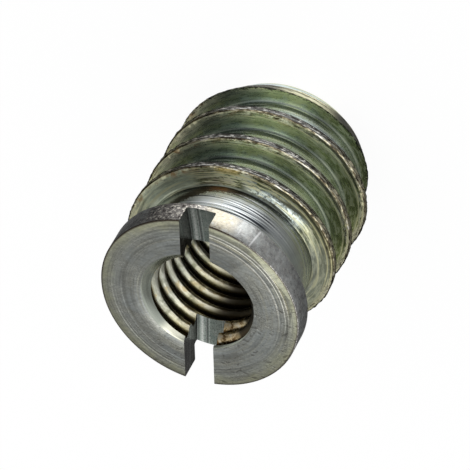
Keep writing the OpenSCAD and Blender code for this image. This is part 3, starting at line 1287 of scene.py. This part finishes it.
def dress_machine_thread(finish):
    """Machine thread: cream flanks, painted shade on the crests, deep in the valleys and over one
    side, gold and brown oil staining.
    """
    wire, at = finish.wire, finish.at
    plating = finish.plating(size=0.8, seed=37.0)
    streaks = finish.drawn_noise(BORE_RADIUS, 0.28, (at.height, at.radius), 5.0, 3.0, 0.7)
    above = at.radius - BORE_RADIUS / MM + (plating.clouds - 0.5) * 0.07
    grey = at.around.towards(5, 22, 56) * above.spread(0.44, 0.30)
    stained = plating.patches * above.spread(0.42, 0.25)
    lighter = streaks.spread(0.52, 0.64) * above.spread(0.30, 0.20)
    mottled = wire.noise(at.place, 1.3, 2.0, 0.6).spread(0.50, 0.66)
    mottled = mottled * at.around.towards(40, 16, 34)
    golden = at.around.towards(114, 8, 22) * at.height.spread(14.0, 14.8)
    # Painted shade over one side of the bore, except at the gold stain
    shaded = at.around.towards(150, 52, 88) * (1.0 - golden)
    blots = wire.noise(at.place, 2.6, 3.0, 0.75)
    tone = wire.layers(
        # Painted shade: darker on the crest flats, cream on the flanks, near black deep towards the
        # root
        wire.ramp(
            above, (0.00, (0.30, 0.27, 0.18)), (0.03, (0.88, 0.84, 0.64)),
            (0.13, (0.84, 0.80, 0.58)), (0.24, (0.58, 0.54, 0.33)), (0.36, (0.27, 0.23, 0.11)),
            (0.46, (0.10, 0.08, 0.04)), (0.56, (0.045, 0.035, 0.02)),
        ),
        (grey * 0.8, (0.36, 0.38, 0.33)),
        (stained * 0.45, (0.46, 0.32, 0.10)),
        (streaks.spread(0.50, 0.36, 0.0, 0.3), (0.30, 0.28, 0.17), "MULTIPLY"),
        (lighter * 0.3, (0.98, 0.97, 0.88)),
        (mottled * 0.6, (0.12, 0.13, 0.07)),
        (shaded * 0.93, (0.035, 0.025, 0.016)),
        (golden * above.spread(0.44, 0.36) * 0.85, (0.84, 0.66, 0.38)),
        (golden * blots.spread(0.50, 0.57) * 0.9, (0.16, 0.085, 0.025)),
        (golden * blots.spread(0.45, 0.38) * 0.8, (0.95, 0.88, 0.70)),
    )
    height = wire.noise(wire.join(at.radius, at.height, at.turn), 4.0, 2.0)
    finish.shade(tone, 0.30, height, 0.012)


def dress_countersink(finish):
    """Bevel where the bore opens: pale grey-green, finely turned, with a cream strip on one side
    and a darker stretch beside it.
    """
    wire, at = finish.wire, finish.at
    marks = finish.marks(at.height, lines=5.0, wander=1.2, seed=61.0)
    plating = finish.plating(size=1.0, seed=41.0)
    tone = wire.layers(
        wire.mix(plating.clouds, (0.32, 0.35, 0.30), (0.41, 0.43, 0.36)),
        (at.around.towards(56, 6, 18), (0.80, 0.80, 0.66)),
        (at.around.towards(24, 12, 30), (0.25, 0.27, 0.235)),
        (marks.dark * 0.45, (0.18, 0.19, 0.16)),
    )
    finish.shade(tone, 0.26, marks.grooves, 0.006)


def milled(finish, across, low_tone, high_tone, seed, stripe=0.0):
    """Milled steel with straight marks, whose place across them is given, and a bright stripe."""
    wire = finish.wire
    marks = finish.marks(across, lines=3.2, seed=seed, around=wire.join(0.0, 0.0, 0.0))
    plating = finish.plating(size=0.8, seed=seed)
    tone = wire.layers(
        wire.mix(plating.clouds, low_tone, high_tone),
        (marks.dark * 0.65, (0.08, 0.085, 0.08)),
        (marks.bright * 0.55, (0.74, 0.77, 0.74)),
        (stripe * 0.6, (0.80, 0.82, 0.78)),
        (plating.grain.spread(0.5, 0.2, 0.0, 0.35), (0.06, 0.06, 0.06)),
    )
    rough = plating.grain.spread(0.0, 1.0, 0.26, 0.40)
    finish.shade(tone, rough, marks.grooves, 0.01)


def dress_slot_wall(finish):
    """Side of the slot: marks round the centre of the disc cutter."""
    cutter_y, cutter_z = 1.84, TOP / MM + 34.0
    y, z = finish.at.place.parts()[1:]
    arm = finish.wire.join(0.0, y - cutter_y, z - cutter_z)
    reach = finish.wire.vector_math("LENGTH", arm)
    milled(finish, reach, (0.22, 0.22, 0.21), (0.32, 0.32, 0.30), 71.0)


def dress_slot_floor(finish):
    """Bottom of the slot: marks along its length and one bright stripe."""
    x = finish.at.place.parts()[0]
    milled(finish, x, (0.24, 0.29, 0.26), (0.34, 0.38, 0.34), 81.0, x.peak(0.80, 0.20))


DRESSERS = {
    "slotted_face": dress_slotted_face,
    "collar_side": dress_collar_side,
    "bare_edge": dress_bare_edge,
    "neck": dress_neck,
    "thread_root": dress_thread_root,
    "thread_flank": dress_thread_flank,
    "thread_edge": dress_thread_edge,
    "thread_crest": dress_thread_crest,
    "entry_end": dress_entry_end,
    "entry_cone": dress_entry_cone,
    "machine_thread": dress_machine_thread,
    "countersink": dress_countersink,
    "slot_wall": dress_slot_wall,
    "slot_floor": dress_slot_floor,
}


class INSERT_OT_plate(bpy.types.Operator):
    """Dresses every surface in its plated or bare steel"""

    bl_idname = "insert.plate"
    bl_label = "Plate the insert"

    def execute(self, context):
        body = bpy.data.objects[PIECE]
        activate(body)
        bpy.ops.object.shade_smooth_by_angle(angle=math.radians(28))
        for build, inputs in EFFECTS.items():
            make_effect(build, inputs)
        for slot in body.data.materials:
            DRESSERS[slot.name](Finish(slot, context.scene.insert_finish))
        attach(body, "root")
        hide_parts(NODE)
        return {"FINISHED"}


# ---------------------------------------------------------------- the stage

# Radius and height of each ring of the tent, in millimetres
TENT_RINGS = [
    (5.7, 0.01), (9.4, 0.02), (30, 20), (90, 30), (180, 60), (180, 150), (140, 220), (60, 270),
    (1, 280),
]
TENT_MIDDLE = 14 * MM
# Brightness of the tent's cloth by direction, in degrees from +X: below the part, level, above
TENT_LOW = [
    (-180, 0.25), (-160, 0.40), (-145, 0.42), (-129, 0.6), (-121, 1.3), (-113, 2.1), (-92, 2.3),
    (-72, 1.7), (-58, 0.9), (-48, 0.4), (-35, 0.22), (-19, 0.10), (0, 0.17), (15, 0.26),
    (24, 0.18), (34, 0.05), (98, 0.04), (110, 0.14), (122, 0.17), (152, 0.2), (180, 0.25),
]
TENT_LEVEL = [
    (-180, 0.5), (-150, 0.5), (-133, 0.3), (-73, 0.3), (-53, 0.12), (0, 0.1), (66, 0.3),
    (150, 0.5), (180, 0.5),
]
TENT_HIGH = [
    (-180, 0.62), (-165, 1.15), (-150, 1.40), (-138, 1.05), (-128, 0.90), (-113, 0.98),
    (-93, 0.88), (-73, 1.50), (-60, 0.66), (-46, 0.2), (-33, 0.08), (-13, 0.14), (5, 0.75),
    (27, 0.70), (48, 0.42), (66, 0.36), (120, 0.38), (180, 0.50),
]


def direction(azimuth, elevation):
    """The unit vector towards an azimuth from +X and a height above the horizon."""
    flat = math.cos(elevation)
    return Vector((flat * math.cos(azimuth), flat * math.sin(azimuth), math.sin(elevation)))


class INSERT_OT_stage(bpy.types.Operator):
    """Sets the floor, the light and the camera"""

    bl_idname = "insert.stage"
    bl_label = "Set the stage"

    def execute(self, context):
        scene, stage = context.scene, context.scene.insert_stage
        scene.view_settings.view_transform = "Standard"
        world = bpy.data.worlds.new("room")
        world.use_nodes = True
        scene.world = world
        background = world.node_tree.nodes["Background"].inputs
        background["Color"].default_value = (1, 1, 1, 1)
        background["Strength"].default_value = stage.world_level
        self.lay_floor(stage)
        self.hang_tent(stage)
        self.place_camera(stage, scene)
        return {"FINISHED"}

    def lay_floor(self, stage):
        """A pale floor, which shows white to the camera and in reflections."""
        deselect_all()
        bpy.ops.mesh.primitive_plane_add(size=2.0, location=(0, 0, -0.02 * MM))
        floor = primitive("floor")
        floor.data.materials.append(material("floor"))
        wire = fresh_wiring(floor.data.materials[0])
        diffuse = wire.output("ShaderNodeBsdfDiffuse", {"Color": (*stage.floor_tone, 1)})
        glow = wire.output("ShaderNodeEmission", {"Strength": stage.floor_white})
        path = wire.outputs("ShaderNodeLightPath")
        seen = path.is_camera_ray.most(path.is_glossy_ray).most(path.is_transmission_ray)
        both = {"Fac": seen * stage.floor_glow, 1: diffuse, 2: glow}
        surface = wire.output("ShaderNodeMixShader", both)
        wire.node("ShaderNodeOutputMaterial", {"Surface": surface})

    def hang_tent(self, stage):
        """A tent of glowing cloth round the part, seen only in its reflections."""
        rings = [(radius * MM, height * MM) for radius, height in TENT_RINGS]
        tent = turned("light_tent", rings, 96)
        edit(tent, "FACE")
        select_where(tent, "faces", lambda f: len(f.verts) > 4)
        bpy.ops.mesh.delete(type="FACE")
        deselect_all()
        tent.data.materials.append(material("tent_cloth"))
        wire = fresh_wiring(tent.data.materials[0])
        glow = wire.output("ShaderNodeEmission", {"Color": self.cloth_glow(wire, stage)})
        wire.node("ShaderNodeOutputMaterial", {"Surface": glow})
        tent.visible_camera = tent.visible_diffuse = tent.visible_shadow = False
        tent.visible_transmission = False

    def cloth_glow(self, wire, stage):
        """Brightness of the cloth by direction and height, with a round lamp in its roof."""
        x, y, z = wire.output("ShaderNodeTexCoord", which="Object").parts()
        share = wire.math("ARCTAN2", y, x) / (2 * math.pi) + 0.5
        away = wire.math("SQRT", wire.math("POWER", x, 2.0) + wire.math("POWER", y, 2.0))
        up = z - TENT_MIDDLE
        rise = wire.math("DEGREES", wire.math("ARCTAN2", up, away))
        low, level, high = (
            wire.ramp(share, *(((degrees + 180) / 360, (glow,) * 3) for degrees, glow in glows))
            for glows in (TENT_LOW, TENT_LEVEL, TENT_HIGH)
        )
        way = wire.vector_math("NORMALIZE", wire.join(x, y, up))
        lamp_way = direction(stage.lamp_azimuth, stage.lamp_elevation)
        facing = wire.vector_math("DOT_PRODUCT", way, lamp_way)
        lamp_rim, lamp_core = math.radians(38), math.radians(18)
        spot = facing.spread(math.cos(lamp_rim), math.cos(lamp_core))
        return wire.layers(
            low,
            (rise.spread(-20.0, -8.0), level),
            (rise.spread(12.0, 28.0), high),
            (rise.spread(54.0, 64.0), (stage.roof,) * 3),
            (spot, (stage.lamp,) * 3),
        )

    def place_camera(self, stage, scene):
        """The camera above the slotted face, aimed at the middle of the part."""
        camera = bpy.data.objects.new("camera", bpy.data.cameras.new("camera"))
        scene.collection.objects.link(camera)
        camera.data.sensor_width = 36
        camera.data.lens = stage.lens
        camera.data.clip_start = 0.01
        camera.data.clip_end = 10
        back = direction(stage.azimuth, stage.elevation)
        level = back.to_track_quat("Z", "Y").to_matrix().to_4x4()
        turn = Matrix.Rotation(stage.roll, 4, "Z")
        place = Matrix.Translation(Vector(stage.aim) + back * stage.distance)
        camera.matrix_world = place @ level @ turn
        scene.camera = camera


class INSERT_PT_panel(bpy.types.Panel):
    """Sizes, colours and steps of the threaded insert"""

    bl_idname = "INSERT_PT_panel"
    bl_label = "Threaded insert"
    bl_space_type = "VIEW_3D"
    bl_region_type = "UI"
    bl_category = "Insert"

    def draw(self, context):
        scene = context.scene
        for group in (scene.insert_sizes, scene.insert_finish, scene.insert_stage):
            box = self.layout.box()
            for name in group.__annotations__:
                box.prop(group, name)
        for operator in OPERATORS:
            self.layout.operator(operator.bl_idname)


OPERATORS = (
    INSERT_OT_turn_blank,
    INSERT_OT_wood_thread,
    INSERT_OT_machine_thread,
    INSERT_OT_driver_slot,
    INSERT_OT_plate,
    INSERT_OT_stage,
)
CLASSES = (InsertSizes, InsertFinish, InsertStage, *OPERATORS, INSERT_PT_panel)


def register():
    for cls in CLASSES:
        bpy.utils.register_class(cls)
    bpy.types.Scene.insert_sizes = bpy.props.PointerProperty(type=InsertSizes)
    bpy.types.Scene.insert_finish = bpy.props.PointerProperty(type=InsertFinish)
    bpy.types.Scene.insert_stage = bpy.props.PointerProperty(type=InsertStage)


def unregister():
    del bpy.types.Scene.insert_stage
    del bpy.types.Scene.insert_finish
    del bpy.types.Scene.insert_sizes
    for cls in reversed(CLASSES):
        bpy.utils.unregister_class(cls)


def main():
    """Makes the whole insert and its stage."""
    register()
    for operator in OPERATORS:
        group, name = operator.bl_idname.split(".")
        getattr(getattr(bpy.ops, group), name)()


if __name__ == "__main__":
    main()
